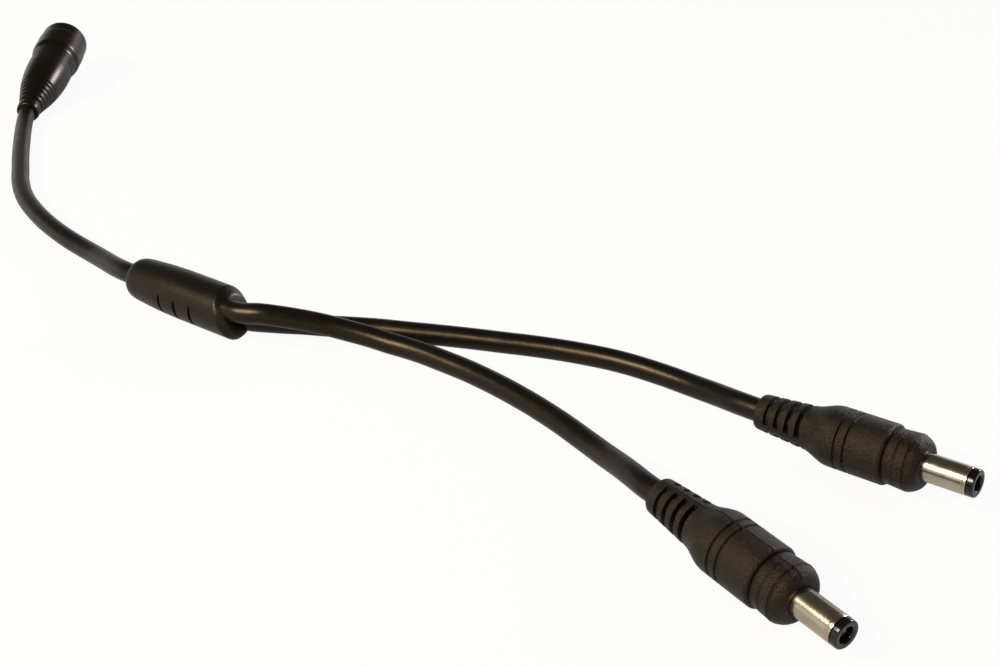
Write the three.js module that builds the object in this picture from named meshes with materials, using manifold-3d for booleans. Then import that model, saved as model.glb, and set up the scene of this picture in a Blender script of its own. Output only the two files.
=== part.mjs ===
// A direct current splitter cable: one socket on an input cable, a moulded junction sleeve,
// and two legs that end in straight moulded barrel plugs.
// Millimetres, +Z up. The origin is under the middle of the sleeve, on the surface it lies on.
// +X runs along the sleeve, from the input cable to the two legs.
import * as THREE from 'three';
import { mergeVertices } from 'three/addons/utils/BufferGeometryUtils.js';
import Module from 'manifold-3d';

const wasm = await Module();
wasm.setup();

// Cable and wires
const cableDiameter = 4.8;
const cableRadius = cableDiameter / 2;
const coreDiameter = 1.5;
const coreRadius = coreDiameter / 2;
const coreOffset = 0.95;
const boreClearance = 0.3;
const fitClearance = 0.15;
const endGap = 0.3;
const boreRadius = cableRadius + boreClearance;
const surfaceClearance = 0.05;

// Plug: moulded body
const plugCableDepth = 9;
const collarLength = 1.2;
const collarWall = 0.98;
const edgeRounding = 0.6;
const slotCount = 4;
const slotPitch = 2.42;
const slotWidth = 1.0;
const firstSlot = 3.05;
const slotFloorWall = 0.35;
const slotWebAngle = 12;
const neckLength = 9.4;
const neckGrowth = 0.74;
const flareLength = 6.3;
const bodyDiameter = 12.1;
const bodyRadius = bodyDiameter / 2;
const bodyLength = 11.45;
const ringGrooveDepth = 0.28;
const ringGrooveWidth = 0.5;
const firstRingInset = 2.25;
const ringSpacing = 2.0;
const stepDepth = 0.58;
const stepRun = 0.35;
const noseRidge = 0.17;
const noseRidgeLength = 3.5;
const noseLipLength = 1.2;
const noseRoundingLength = 1.85;
const noseFaceDiameter = 8.2;
const noseFaceRadius = noseFaceDiameter / 2;

// Plug: metal barrel, insulator and centre contact
const metalDiameter = 5.5;
const metalRadius = metalDiameter / 2;
const metalWall = 0.5;
const metalReach = 8.6;
const metalGrooveInset = 0.7;
const metalGrooveWidth = 0.3;
const metalGrooveDepth = 0.14;
const metalEmbed = 10;
const lugLength = 1.2;
const lugHeight = 0.95;
const tipLength = 1.3;
const tipStep = 0.04;
const tipRounding = 0.4;
const pinBoreDiameter = 2.1;
const contactWall = 0.3;
const contactRecess = 1.3;
const contactDepth = 13;
const contactTailDiameter = 1.8;
const contactTailLength = 9.3;
const insulatorMouth = 0.3;

// Socket: moulded body
const socketCableDepth = 11;
const socketCollarLength = 3.0;
const socketCollarWall = 0.6;
const ribCount = 5;
const ribPitch = 1.8;
const ribDepth = 0.3;
const ribFootWall = 0.8;
const ribGrowth = 2.05;
const bulgeLength = 11;
const bulgeDiameter = 13.5;
const bulgeRadius = bulgeDiameter / 2;
const waistLength = 8;
const socketLineDepth = 0.22;
const socketLineWidth = 0.6;
const socketLineSpacing = 1.6;
const gripFlareLength = 2.8;
const gripDiameter = 14.9;
const gripRadius = gripDiameter / 2;
const gripLength = 7.2;
const mouthStep = 0.25;
const mouthLength = 5.0;
const mouthRounding = 0.7;

// Socket: housing, pin and spring
const housingDiameter = 9.4;
const housingRadius = housingDiameter / 2;
const housingLength = 15.2;
const housingInset = 0.3;
const socketBoreDiameter = 5.9;
const socketBoreRadius = socketBoreDiameter / 2;
const socketBoreDepth = 10.5;
const pinDiameter = 2.0;
const pinRadius = pinDiameter / 2;
const pinRecess = 1.0;
const pinTipLength = 0.8;
const pinTailLength = 4.2;
const terminalCavityRadius = 3.7;
const springWidth = 2.2;
const springThickness = 0.35;
const springHeight = 2.7;
const springBow = 0.3;
const springInset = 2.6;

// Junction sleeve
const sleeveLength = 34.5;
const sleeveDiameter = 11.4;
const sleeveRadius = sleeveDiameter / 2;
const shoulderLength = 3.7;
const shoulderRadius = 5.12;
const shoulderFace = 3.2;
const sleeveTaperLength = 12;
const endChamferLength = 2.0;
const endChamferDrop = 1.5;
const endSlant = 23;
const endSlantRoll = 72;
const sleeveCableDepth = 8;
const legSpacing = 5.15;
const sleeveWall = 1.3;
const cavityRadius = sleeveRadius - sleeveWall;
const slitCount = 3;
const slitPitch = 5.0;
const slitWidth = 0.7;
const slitDepth = 0.8;
const slitHalfAngle = 33;
const slitTurn = 26;
const firstSlit = 12.9;
const ferruleDiameter = 3.0;
const ferruleRadius = ferruleDiameter / 2;
const ferruleLength = 6;
const ferruleWall = 0.4;
const ferruleOffset = 1.75;
const legCoreDiameter = 1.1;
const legCoreOffset = 0.95;

// Where the connectors lie: the cable end of each body, its heading, nose-up tilt and roll in degrees
const frontPlug = { x: 127.8, y: -6.3, heading: -18.7, tilt: -1.4, roll: 0 };
const rearPlug = { x: 128.1, y: 33, heading: -4.6, tilt: 3.4, roll: 108 };
const socket = { x: -135.4, y: 60.1, heading: 125.3, tilt: 10, roll: 0 };
const sleeveRoll = 45;

// The free stretches of the cables, as [x, y, lift above where the cable would lie on the surface]
const frontLegPoints = [
  [18.6, -1.5, 5.3], [22.4, 0.15, 5.6], [26, 2.7, 5.0], [29.8, 5.7, 4.0], [33.9, 8.6, 2.85],
  [38.4, 11, 1.75], [43, 12.9, 0.9], [47.2, 14.1, 0.25], [51.2, 14.9, 0.02], [56, 15.2, 0],
  [62.2, 15.1, 0], [68.7, 14.8, 0], [77.4, 13.7, 0], [86.4, 11.9, 0], [95.6, 9.4, 0],
  [103.8, 6.5, 0.1], [110, 3.6, 0.8], [115.2, 0.6, 2.05], [119.9, -2.4, 3.3], [124, -4.8, 4.05],
];
const rearLegPoints = [
  [18.4, 2.2, 1.7], [21.3, 3.6, 1.75], [24.2, 6.1, 1.3], [27.2, 9.1, 0.7],
  [30.6, 11.9, 0.15], [34.7, 14.6, 0], [41.1, 18, 0], [47.1, 20.7, 0], [53.8, 23.8, 0],
  [60, 26.5, 0], [66.4, 29.1, 0], [74.6, 32.4, 0], [83.2, 35.2, 0], [92.2, 37.2, 0],
  [101.7, 37.8, 0], [110.1, 37.2, 0.25], [116.8, 35.7, 1.1], [122.4, 33.9, 2.1],
];
const inputPoints = [
  [-21, 0.3, 3.1], [-24.8, 1.1, 2.6], [-28.6, 2.2, 2.0], [-33.6, 3.9, 1.2], [-39.6, 5.7, 0.45],
  [-46, 7.1, 0.04], [-52, 8.2, 0], [-58.3, 9.6, 0], [-64.5, 11.3, 0], [-70.3, 13.2, 0],
  [-76.3, 15.5, 0], [-82.7, 18.4, 0], [-88.7, 21.8, 0], [-94.9, 26, 0], [-100.8, 30.6, 0],
  [-107, 35.4, 0], [-113.2, 40.4, 0], [-121.5, 47.3, 0], [-127.6, 52.5, 0.02], [-131.8, 56.3, 0.2],
];

// Fineness of the round pieces
const bodySides = 20;
const sleeveSides = 24;
const smallSides = 16;
const cableSides = 10;
const coreSides = 8;
const flareSteps = 5;
const cableStep = 4.5;

const materials = {
  jacket: { color: 0x1b1916, roughness: 0.42, metalness: 0 },
  moulding: { color: 0x1c1a18, roughness: 0.6, metalness: 0 },
  nickel: { color: 0xc9b896, roughness: 0.22, metalness: 1 },
  tip: { color: 0x0d0d0e, roughness: 0.18, metalness: 0 },
  contact: { color: 0xb9b6ae, roughness: 0.3, metalness: 1 },
  redWire: { color: 0x8e1d18, roughness: 0.5, metalness: 0 },
  blackWire: { color: 0x161616, roughness: 0.5, metalness: 0 },
  housing: { color: 0x141414, roughness: 0.45, metalness: 0 },
  ferrule: { color: 0xb7b2a6, roughness: 0.35, metalness: 1 },
};

// Turns degrees to radians
function radians(degrees) {
  return (degrees * Math.PI) / 180;
}

// A named mesh with one of the materials above
function piece(name, geometry, material) {
  const mesh = new THREE.Mesh(geometry, new THREE.MeshStandardMaterial(materials[material]));
  mesh.name = name;
  return mesh;
}

// Spins a closed profile of [along, radius] corners about the X axis
function turned(profile, sides) {
  let area = 0;
  profile.forEach(([along, radius], i) => {
    const [nextAlong, nextRadius] = profile[(i + 1) % profile.length];
    area += radius * nextAlong - nextRadius * along;
  });
  const points = profile.map(([along, radius]) => new THREE.Vector2(radius, along));
  if (area < 0) {
    points.reverse();
  }
  if (profile.every(([, radius]) => radius > 0)) {
    points.push(points[0].clone());
  }
  const geometry = new THREE.LatheGeometry(points, sides);
  geometry.rotateZ(-Math.PI / 2);
  return geometry;
}

// A round wire or cable along a list of points
function tube(points, radius, sides, steps) {
  const section = new THREE.Shape();
  for (let i = 0; i < sides; i += 1) {
    const angle = (2 * Math.PI * i) / sides;
    const corner = [radius * Math.cos(angle), radius * Math.sin(angle)];
    if (i === 0) {
      section.moveTo(...corner);
    } else {
      section.lineTo(...corner);
    }
  }
  const path = new THREE.CatmullRomCurve3(points, false, 'centripetal');
  return new THREE.ExtrudeGeometry(section, { extrudePath: path, steps, bevelEnabled: false });
}

// A closed manifold solid of a geometry, for cutting
function solidOf(geometry) {
  const bare = geometry.clone();
  bare.deleteAttribute('normal');
  bare.deleteAttribute('uv');
  const merged = mergeVertices(bare, 1e-4);
  const mesh = new wasm.Mesh({
    numProp: 3,
    vertProperties: merged.attributes.position.array,
    triVerts: new Uint32Array(merged.index.array),
  });
  return new wasm.Manifold(mesh);
}

// The geometry of a manifold solid
function geometryOf(solid) {
  const mesh = solid.getMesh();
  const geometry = new THREE.BufferGeometry();
  geometry.setAttribute('position', new THREE.BufferAttribute(mesh.vertProperties, 3));
  geometry.setIndex(new THREE.BufferAttribute(mesh.triVerts, 1));
  geometry.computeVertexNormals();
  return geometry;
}

// A geometry with others cut out of it
function cut(geometry, cutters) {
  let solid = solidOf(geometry);
  cutters.forEach((cutter) => {
    solid = solid.subtract(solidOf(cutter));
  });
  return geometryOf(solid);
}

// Part of a ring about the X axis, from one radius to another, centred on an angle from +Z towards +Y
function ringSector(along, width, inner, outer, centre, halfAngle) {
  const shape = new THREE.Shape();
  const arcSteps = 6;
  const corners = [];
  for (let i = 0; i <= arcSteps; i += 1) {
    corners.push([inner, centre - halfAngle + (2 * halfAngle * i) / arcSteps]);
  }
  for (let i = arcSteps; i >= 0; i -= 1) {
    corners.push([outer, centre - halfAngle + (2 * halfAngle * i) / arcSteps]);
  }
  corners.forEach(([radius, angle], i) => {
    const place = [radius * Math.cos(radians(angle)), radius * Math.sin(radians(angle))];
    if (i === 0) {
      shape.moveTo(...place);
    } else {
      shape.lineTo(...place);
    }
  });
  const geometry = new THREE.ExtrudeGeometry(shape, { depth: width, bevelEnabled: false });
  geometry.applyMatrix4(
    new THREE.Matrix4().makeBasis(
      new THREE.Vector3(0, 0, 1),
      new THREE.Vector3(0, 1, 0),
      new THREE.Vector3(-1, 0, 0),
    ),
  );
  geometry.translate(along + width / 2, 0, 0);
  return geometry;
}

// A V-shaped ring groove in a profile, about a place along it
function grooveCorners(along, radius, width, depth) {
  return [
    [along - width / 2, radius],
    [along, radius - depth],
    [along + width / 2, radius],
  ];
}

// A smooth S from one radius to another
function flareCorners(start, length, fromRadius, toRadius) {
  const corners = [];
  for (let i = 0; i <= flareSteps; i += 1) {
    const share = i / flareSteps;
    const rise = (1 - Math.cos(Math.PI * share)) / 2;
    corners.push([start + length * share, fromRadius + (toRadius - fromRadius) * rise]);
  }
  return corners;
}

// Places along the plug, from the cable end of its body
const neckStart = collarLength;
const neckEnd = neckStart + neckLength;
const bodyStart = neckEnd + flareLength;
const bodyEnd = bodyStart + bodyLength;
const noseStart = bodyEnd + stepRun;
const lipStart = noseStart + noseRidgeLength;
const lipEnd = lipStart + noseLipLength;
const noseFace = lipEnd + noseRoundingLength;
const collarRadius = boreRadius + collarWall;
const neckEndRadius = collarRadius + neckGrowth;
const noseRadius = bodyRadius - stepDepth;
const metalEnd = noseFace + metalReach;
const tipEnd = metalEnd + endGap / 2 + tipLength;
const lugStart = noseFace - metalEmbed;
const lugRadius = metalRadius + lugHeight;
const metalBoreRadius = metalRadius - metalWall;
const pinBoreRadius = pinBoreDiameter / 2;
const contactRadius = pinBoreRadius + contactWall;
const contactFront = tipEnd - contactRecess;
const contactShoulder = contactFront - contactDepth;
const tailStart = contactShoulder - contactTailLength;

// The outline of the plug's moulded body, with its bore and the pocket for the barrel's lug
function plugBodyProfile() {
  const ringOne = bodyStart + firstRingInset;
  const ringTwo = ringOne + ringSpacing;
  const metalSeat = metalRadius + boreClearance;
  const lugPocket = lugRadius + boreClearance;
  return [
    [0, boreRadius + (collarRadius - boreRadius) / 3],
    [edgeRounding / 3, collarRadius - edgeRounding / 2],
    [edgeRounding * 1.4, collarRadius - edgeRounding / 8],
    [neckStart, collarRadius],
    ...flareCorners(neckEnd, flareLength, neckEndRadius, bodyRadius),
    ...grooveCorners(ringOne, bodyRadius, ringGrooveWidth, ringGrooveDepth),
    ...grooveCorners(ringTwo, bodyRadius, ringGrooveWidth, ringGrooveDepth),
    [bodyEnd, bodyRadius],
    [noseStart, noseRadius],
    [lipStart - ringGrooveWidth / 2, noseRadius + noseRidge],
    [lipStart, noseRadius + noseRidge - ringGrooveDepth / 2],
    [lipStart + ringGrooveWidth / 2, noseRadius + noseRidge],
    [lipEnd, noseRadius],
    [lipEnd + noseRoundingLength * 0.5, noseRadius - (noseRadius - noseFaceRadius) * 0.3],
    [lipEnd + noseRoundingLength * 0.87, noseRadius - (noseRadius - noseFaceRadius) * 0.68],
    [noseFace, noseFaceRadius],
    [noseFace, metalSeat],
    [lugStart + lugLength + endGap, metalSeat],
    [lugStart + lugLength + endGap, lugPocket],
    [lugStart - endGap, lugPocket],
    [lugStart - endGap, boreRadius],
    [0, boreRadius],
  ];
}

// The moulded body of a plug, with the slots of its strain relief on both sides of the parting line
function plugBody() {
  const slotFloor = boreRadius + slotFloorWall;
  const cutters = [];
  for (let i = 0; i < slotCount; i += 1) {
    const along = firstSlot + i * slotPitch;
    [90, -90].forEach((side) => {
      cutters.push(
        ringSector(along - slotWidth / 2, slotWidth, slotFloor, bodyRadius, side, 90 - slotWebAngle),
      );
    });
  }
  return cut(turned(plugBodyProfile(), bodySides), cutters);
}

// The plated brass barrel, with a lug ring inside the body and a turned groove near its end
function metalBarrel() {
  const groove = metalEnd - metalGrooveInset;
  return turned(
    [
      [lugStart, metalBoreRadius],
      [lugStart, lugRadius],
      [lugStart + lugLength, lugRadius],
      [lugStart + lugLength, metalRadius],
      [groove - metalGrooveWidth / 2, metalRadius],
      [groove, metalRadius - metalGrooveDepth],
      [groove + metalGrooveWidth / 2, metalRadius],
      [metalEnd, metalRadius],
      [metalEnd, metalBoreRadius],
    ],
    bodySides,
  );
}

// The insulator that fills the barrel and stands out of it as the black tip
function plugInsulator() {
  const inBarrel = metalBoreRadius - fitClearance;
  const tipRadius = metalRadius - tipStep;
  const bore = contactRadius + fitClearance;
  return turned(
    [
      [lugStart + lugLength, bore],
      [lugStart + lugLength, inBarrel],
      [tipEnd - tipLength, inBarrel],
      [tipEnd - tipLength, tipRadius],
      [tipEnd - tipRounding, tipRadius],
      [tipEnd - tipRounding * 0.3, tipRadius - tipRounding * 0.3],
      [tipEnd, tipRadius - tipRounding],
      [tipEnd, bore + insulatorMouth],
      [tipEnd - insulatorMouth, bore],
    ],
    bodySides,
  );
}

// The tubular centre contact, with its solder tail
function centreContact() {
  const tailRadius = contactTailDiameter / 2;
  return turned(
    [
      [tailStart, 0],
      [tailStart, tailRadius],
      [contactShoulder, tailRadius],
      [contactShoulder, contactRadius],
      [contactFront, contactRadius],
      [contactFront, pinBoreRadius],
      [contactShoulder + contactWall * 3, pinBoreRadius],
      [contactShoulder + contactWall * 3, 0],
    ],
    smallSides,
  );
}

// A wire inside a connector, through [along, across, up] points
function core(points) {
  return tube(points.map((p) => new THREE.Vector3(...p)), coreRadius, coreSides, 6);
}

// One whole plug in its own frame: X along it from the cable end of the body, Z towards the parting line
function plugPieces(prefix) {
  const group = new THREE.Group();
  const wireStart = plugCableDepth + endGap;
  const lugFace = lugStart - endGap;
  const tailFace = tailStart - endGap;
  const middle = (wireStart + tailFace) / 2;
  const atLug = contactTailDiameter / 2 + coreRadius + fitClearance;
  group.add(
    piece(`${prefix}_overmould`, plugBody(), 'moulding'),
    piece(`${prefix}_barrel`, metalBarrel(), 'nickel'),
    piece(`${prefix}_insulator`, plugInsulator(), 'tip'),
    piece(`${prefix}_centre_contact`, centreContact(), 'contact'),
    piece(
      `${prefix}_positive_core`,
      core([
        [wireStart, -coreOffset, 0],
        [middle, -coreOffset, 0],
        [tailFace - 1.5, -coreOffset / 4, 0],
        [tailFace, 0, 0],
      ]),
      'redWire',
    ),
    piece(
      `${prefix}_negative_core`,
      core([
        [wireStart, coreOffset, 0],
        [middle - 2, (coreOffset + atLug) / 2, 0],
        [middle + 1, atLug, 0],
        [lugFace, atLug, 0],
      ]),
      'blackWire',
    ),
  );
  return group;
}

// Places along the socket, from the cable end of its body
const ribStart = socketCollarLength + 0.5;
const ribEnd = ribStart + ribCount * ribPitch;
const bulgeTop = ribEnd + bulgeLength;
const waistEnd = bulgeTop + waistLength;
const gripStart = waistEnd + gripFlareLength;
const gripEnd = gripStart + gripLength;
const mouthStart = gripEnd + 0.4;
const socketFace = mouthStart + mouthLength;
const socketCollarRadius = boreRadius + socketCollarWall;
const ribFootRadius = boreRadius + ribFootWall;
const ribTopRadius = ribFootRadius + ribGrowth;
const mouthRadius = gripRadius - mouthStep;
const housingFront = socketFace - housingInset;
const housingBack = housingFront - housingLength;
const socketFloor = housingFront - socketBoreDepth;
const terminalStart = socketCableDepth + endGap;
const terminalEnd = housingBack - pinTailLength;

// The outline of the socket's moulded body: collar, ribbed cone, bulge, waist, grip ring and mouth
function socketBodyProfile() {
  const ribs = [];
  for (let i = 0; i < ribCount; i += 1) {
    const from = ribStart + i * ribPitch;
    const crest = ribFootRadius + (ribGrowth * (i + 0.5)) / ribCount;
    ribs.push(
      [from, crest - ribDepth],
      [from + ribPitch * 0.3, crest],
      [from + ribPitch * 0.75, crest + (ribGrowth * 0.3) / ribCount],
    );
  }
  const bulgeRise = bulgeRadius - ribTopRadius;
  const lineOne = waistEnd - socketLineSpacing * 1.5;
  return [
    [0, boreRadius + socketCollarWall / 3],
    [edgeRounding / 2, socketCollarRadius],
    [socketCollarLength, socketCollarRadius + 0.1],
    ...ribs,
    [ribEnd, ribTopRadius - ribDepth],
    [ribEnd + bulgeLength * 0.1, ribTopRadius + bulgeRise * 0.1],
    [ribEnd + bulgeLength * 0.35, ribTopRadius + bulgeRise * 0.5],
    [ribEnd + bulgeLength * 0.65, ribTopRadius + bulgeRise * 0.85],
    [bulgeTop, bulgeRadius],
    ...grooveCorners(lineOne - socketLineSpacing, bulgeRadius, socketLineWidth, socketLineDepth),
    ...grooveCorners(lineOne, bulgeRadius, socketLineWidth, socketLineDepth),
    [waistEnd, bulgeRadius],
    [waistEnd + gripFlareLength * 0.5, (bulgeRadius + gripRadius) / 2],
    [gripStart, gripRadius],
    [gripEnd, gripRadius],
    [mouthStart, mouthRadius],
    [socketFace - mouthRounding, mouthRadius],
    [socketFace - mouthRounding * 0.3, mouthRadius - mouthRounding * 0.35],
    [socketFace, mouthRadius - mouthRounding],
    [socketFace, housingRadius + boreClearance],
    [housingBack - endGap, housingRadius + boreClearance],
    [housingBack - endGap, terminalCavityRadius],
    [terminalStart, terminalCavityRadius],
    [terminalStart, boreRadius],
    [0, boreRadius],
  ];
}

// The insulating housing in the socket's mouth, with a keyway for the spring and a hole for the pin
function socketHousing() {
  const keyway = new THREE.BoxGeometry(
    housingLength * 2,
    springWidth + 2 * boreClearance,
    springThickness + springBow + 3 * boreClearance,
  );
  keyway.translate(housingBack, 0, springHeight);
  const body = turned(
    [
      [housingBack, pinRadius + boreClearance],
      [housingBack, housingRadius],
      [housingFront, housingRadius],
      [housingFront, socketBoreRadius],
      [socketFloor, socketBoreRadius],
      [socketFloor, pinRadius + boreClearance],
    ],
    bodySides,
  );
  const springFront = housingFront - springInset;
  keyway.translate(springFront + boreClearance - housingLength - housingBack, 0, 0);
  return cut(body, [keyway]);
}

// The centre pin of the socket
function centrePin() {
  const front = housingFront - pinRecess;
  const tailRadius = pinRadius * 0.75;
  return turned(
    [
      [terminalEnd, 0],
      [terminalEnd, tailRadius],
      [housingBack, tailRadius],
      [housingBack, pinRadius],
      [front - pinTipLength, pinRadius],
      [front - pinTipLength * 0.3, pinRadius * 0.72],
      [front, pinRadius * 0.35],
      [front, 0],
    ],
    smallSides,
  );
}

// The leaf spring that presses on the plug's barrel, bowed in the socket's bore
function springContact() {
  const front = housingFront - springInset;
  const low = springHeight - springThickness / 2;
  const bowCentre = (socketFloor + front) / 2;
  const line = [
    [terminalEnd, low],
    [socketFloor + 0.5, low],
    [bowCentre, low - springBow],
    [front, low],
  ];
  const shape = new THREE.Shape();
  shape.moveTo(...line[0]);
  line.slice(1).forEach((p) => shape.lineTo(...p));
  line.slice().reverse().forEach(([along, up]) => shape.lineTo(along, up + springThickness));
  const geometry = new THREE.ExtrudeGeometry(shape, { depth: springWidth, bevelEnabled: false });
  geometry.rotateX(Math.PI / 2);
  geometry.translate(0, springWidth / 2, 0);
  return geometry;
}

// The whole socket in its own frame: X along it from the cable end of the body
function socketPieces() {
  const group = new THREE.Group();
  const wireStart = terminalStart + endGap;
  const wireEnd = terminalEnd - endGap;
  const middle = (wireStart + wireEnd) / 2;
  const springTail = springHeight - springThickness / 2;
  group.add(
    piece('socket_overmould', turned(socketBodyProfile(), bodySides), 'moulding'),
    piece('socket_housing', socketHousing(), 'housing'),
    piece('socket_centre_pin', centrePin(), 'nickel'),
    piece('socket_spring_contact', springContact(), 'contact'),
    piece(
      'socket_positive_core',
      core([
        [wireStart, -coreOffset, 0],
        [middle, -coreOffset * 0.6, 0],
        [wireEnd, 0, 0],
      ]),
      'redWire',
    ),
    piece(
      'socket_negative_core',
      core([
        [wireStart, coreOffset, 0],
        [middle, coreOffset, springTail * 0.6],
        [wireEnd - 1, 0.2, springTail],
        [wireEnd, 0, springTail],
      ]),
      'blackWire',
    ),
  );
  return group;
}

// Places along the sleeve, from its middle
const sleeveBack = -sleeveLength / 2;
const faceRadius = sleeveRadius - endChamferDrop;
const slantRun = Math.tan(radians(endSlant));
const sleeveFace = sleeveLength / 2 - faceRadius * slantRun;
const chamferStart = sleeveFace - endChamferLength;
const inputEnd = sleeveBack + sleeveCableDepth;
const legEnd = sleeveFace - sleeveCableDepth;
const cavityBack = inputEnd - endGap;
const cavityFront = legEnd + endGap;
const ferruleMiddle = (inputEnd + legEnd) / 2;

// Leans the leg end of the sleeve over, so that one side reaches further than the other
function slantEnd(geometry) {
  const position = geometry.attributes.position;
  const across = Math.sin(radians(endSlantRoll)) * slantRun;
  const up = Math.cos(radians(endSlantRoll)) * slantRun;
  for (let i = 0; i < position.count; i += 1) {
    if (position.getX(i) > chamferStart - fitClearance) {
      position.setX(i, position.getX(i) - position.getY(i) * across - position.getZ(i) * up);
    }
  }
  return geometry;
}

// The moulded sleeve in its own frame: Z towards the upper leg, Y across the pair of legs
function sleeveBody() {
  const outline = [
    [sleeveBack, 0],
    [sleeveBack, shoulderFace],
    [sleeveBack + shoulderLength * 0.1, shoulderFace + (shoulderRadius - shoulderFace) * 0.42],
    [sleeveBack + shoulderLength * 0.27, shoulderFace + (shoulderRadius - shoulderFace) * 0.7],
    [sleeveBack + shoulderLength * 0.5, shoulderFace + (shoulderRadius - shoulderFace) * 0.88],
    [sleeveBack + shoulderLength, shoulderRadius],
    [sleeveBack + shoulderLength + sleeveTaperLength * 0.5, (shoulderRadius + sleeveRadius * 2) / 3],
    [sleeveBack + shoulderLength + sleeveTaperLength, sleeveRadius],
    [chamferStart, sleeveRadius],
    [sleeveFace - endChamferLength * 0.4, sleeveRadius - endChamferDrop * 0.45],
    [sleeveFace, faceRadius],
    [sleeveFace, 0],
  ];
  const cavity = turned(
    [
      [cavityBack, 0],
      [cavityBack, cavityRadius],
      [cavityFront, cavityRadius],
      [cavityFront, 0],
    ],
    smallSides,
  );
  const inputBore = turned(
    [
      [sleeveBack - 1, 0],
      [sleeveBack - 1, boreRadius],
      [cavityBack + 1, boreRadius],
      [cavityBack + 1, 0],
    ],
    smallSides,
  );
  const legBores = [1, -1].map((side) => {
    const bore = turned(
      [
        [cavityFront - 1, 0],
        [cavityFront - 1, boreRadius],
        [sleeveFace + sleeveRadius, boreRadius],
        [sleeveFace + sleeveRadius, 0],
      ],
      smallSides,
    );
    bore.translate(0, 0, (side * legSpacing) / 2);
    return bore;
  });
  const slits = [];
  for (let i = 0; i < slitCount; i += 1) {
    const along = sleeveBack + firstSlit + i * slitPitch;
    [90, -90].forEach((side) => {
      slits.push(
        ringSector(
          along - slitWidth / 2,
          slitWidth,
          sleeveRadius - slitDepth,
          sleeveRadius * 1.2,
          side + slitTurn,
          slitHalfAngle,
        ),
      );
    });
  }
  return cut(slantEnd(turned(outline, sleeveSides)), [cavity, inputBore, ...legBores, ...slits]);
}

// A crimped joining ferrule
function ferrule() {
  const inner = ferruleRadius - ferruleWall;
  const from = ferruleMiddle - ferruleLength / 2;
  const to = ferruleMiddle + ferruleLength / 2;
  return turned(
    [
      [from, inner],
      [from, ferruleRadius],
      [ferruleMiddle - 0.6, ferruleRadius],
      [ferruleMiddle, ferruleRadius * 0.88],
      [ferruleMiddle + 0.6, ferruleRadius],
      [to, ferruleRadius],
      [to, inner],
    ],
    smallSides,
  );
}

// The sleeve, the two joints inside it and the wires that meet there
function sleevePieces() {
  const group = new THREE.Group();
  group.add(piece('y_sleeve', sleeveBody(), 'moulding'));
  const ferruleBack = ferruleMiddle - ferruleLength / 2 - endGap;
  const ferruleFront = ferruleMiddle + ferruleLength / 2 + endGap;
  const legCoreRadius = legCoreDiameter / 2;
  const pairHalf = legCoreRadius + fitClearance / 2;
  [
    { name: 'positive', side: 1, wire: 'redWire' },
    { name: 'negative', side: -1, wire: 'blackWire' },
  ].forEach(({ name, side, wire }) => {
    const joint = ferrule();
    joint.translate(0, side * ferruleOffset, 0);
    group.add(piece(`${name}_splice`, joint, 'ferrule'));
    const inputCore = tube(
      [
        new THREE.Vector3(inputEnd + endGap, side * coreOffset, 0),
        new THREE.Vector3((inputEnd + ferruleBack) / 2, (side * (coreOffset + ferruleOffset)) / 2, 0),
        new THREE.Vector3(ferruleBack, side * ferruleOffset, 0),
      ],
      coreRadius,
      coreSides,
      4,
    );
    group.add(piece(`input_${name}_core`, inputCore, wire));
    [
      { leg: 'front', up: 1 },
      { leg: 'rear', up: -1 },
    ].forEach(({ leg, up }) => {
      const start = new THREE.Vector3(ferruleFront, side * ferruleOffset, up * pairHalf);
      const end = new THREE.Vector3(legEnd - endGap, side * legCoreOffset, (up * legSpacing) / 2);
      const middle = start.clone().lerp(end, 0.5);
      const legCore = tube([start, middle, end], legCoreRadius, coreSides, 3);
      group.add(piece(`${leg}_${name}_core`, legCore, wire));
    });
  });
  return group;
}

// Stands a connector on the surface: its heading, tilt and roll, and the height at which its outline touches
function layDown(group, at, profile) {
  const tilt = radians(at.tilt);
  const heights = profile.map(([along, radius]) => radius * Math.cos(tilt) - along * Math.sin(tilt));
  group.position.set(at.x, at.y, Math.max(...heights));
  group.rotation.set(radians(at.roll), -tilt, radians(at.heading), 'ZYX');
  group.updateMatrixWorld(true);
}

// A point on the axis of a placed group, with an offset across it
function onAxis(group, along, up = 0) {
  return new THREE.Vector3(along, 0, up).applyMatrix4(group.matrixWorld);
}

// A cable from one bore to another by way of its chosen points
function cable(startPoints, chosen, endPoints) {
  const restHeight = cableRadius + surfaceClearance;
  const free = chosen.map(([x, y, lift]) => new THREE.Vector3(x, y, restHeight + lift));
  const points = [...startPoints, ...free, ...endPoints];
  const path = new THREE.CatmullRomCurve3(points, false, 'centripetal');
  const steps = Math.ceil(path.getLength() / cableStep);
  return tube(points, cableRadius, cableSides, steps);
}

const root = new THREE.Group();

const sleeveGroup = sleevePieces();
sleeveGroup.position.set(0, 0, sleeveRadius);
sleeveGroup.rotation.x = radians(sleeveRoll);
sleeveGroup.updateMatrixWorld(true);

const frontGroup = plugPieces('front_plug');
layDown(frontGroup, frontPlug, plugBodyProfile());
const rearGroup = plugPieces('rear_plug');
layDown(rearGroup, rearPlug, plugBodyProfile());
const socketGroup = socketPieces();
layDown(socketGroup, socket, socketBodyProfile());

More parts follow.
